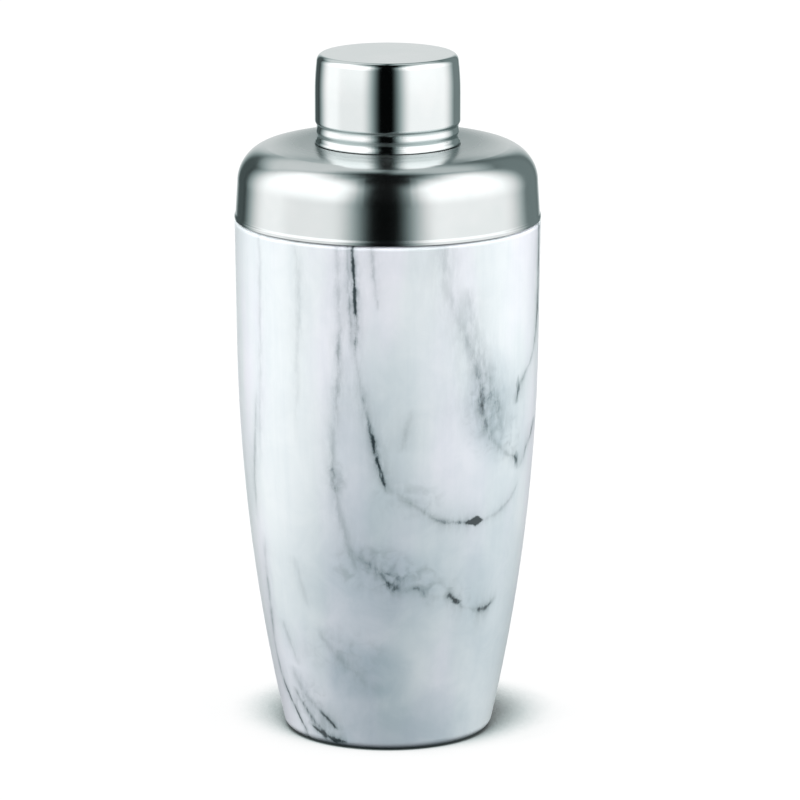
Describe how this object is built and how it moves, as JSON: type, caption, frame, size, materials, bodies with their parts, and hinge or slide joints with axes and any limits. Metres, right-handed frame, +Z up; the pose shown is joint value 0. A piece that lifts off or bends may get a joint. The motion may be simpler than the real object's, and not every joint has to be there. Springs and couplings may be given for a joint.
{
  "type": "cocktail shaker",
  "caption": "Three-piece cocktail shaker: marble-finish double-wall tumbler, steel lid with built-in strainer, and steel cap.",
  "frame": {"origin": "centre of the foot ring, on the surface that the shaker stands on", "axes": "+Z up along the axis of revolution, from the foot to the cap"},
  "size_m": [0.0899, 0.0898, 0.2028],
  "materials": {
    "marble_finish": "gloss lacquer over a white and grey veined print",
    "polished_steel": "mirror polished stainless steel",
    "brushed_steel": "satin, brushed around the axis",
    "silicone": "matt grey silicone"
  },
  "bodies": {
    "tumbler": {"outer_shell": "marble_finish", "inner_liner": "brushed_steel", "base_plate": "brushed_steel"},
    "lid": {"lid_dome": "polished_steel", "lid_plug": "brushed_steel", "lid_seal": "silicone", "strainer": "brushed_steel"},
    "cap": {"cap": "polished_steel", "cap_seal": "silicone"}
  },
  "joints": [
    {"name": "lid_lift", "type": "slide", "parent": "tumbler", "child": "lid", "axis": [0, 0, 1], "range_m": [0, 0.06]},
    {"name": "cap_lift", "type": "slide", "parent": "lid", "child": "cap", "axis": [0, 0, 1], "range_m": [0, 0.04]}
  ]
}
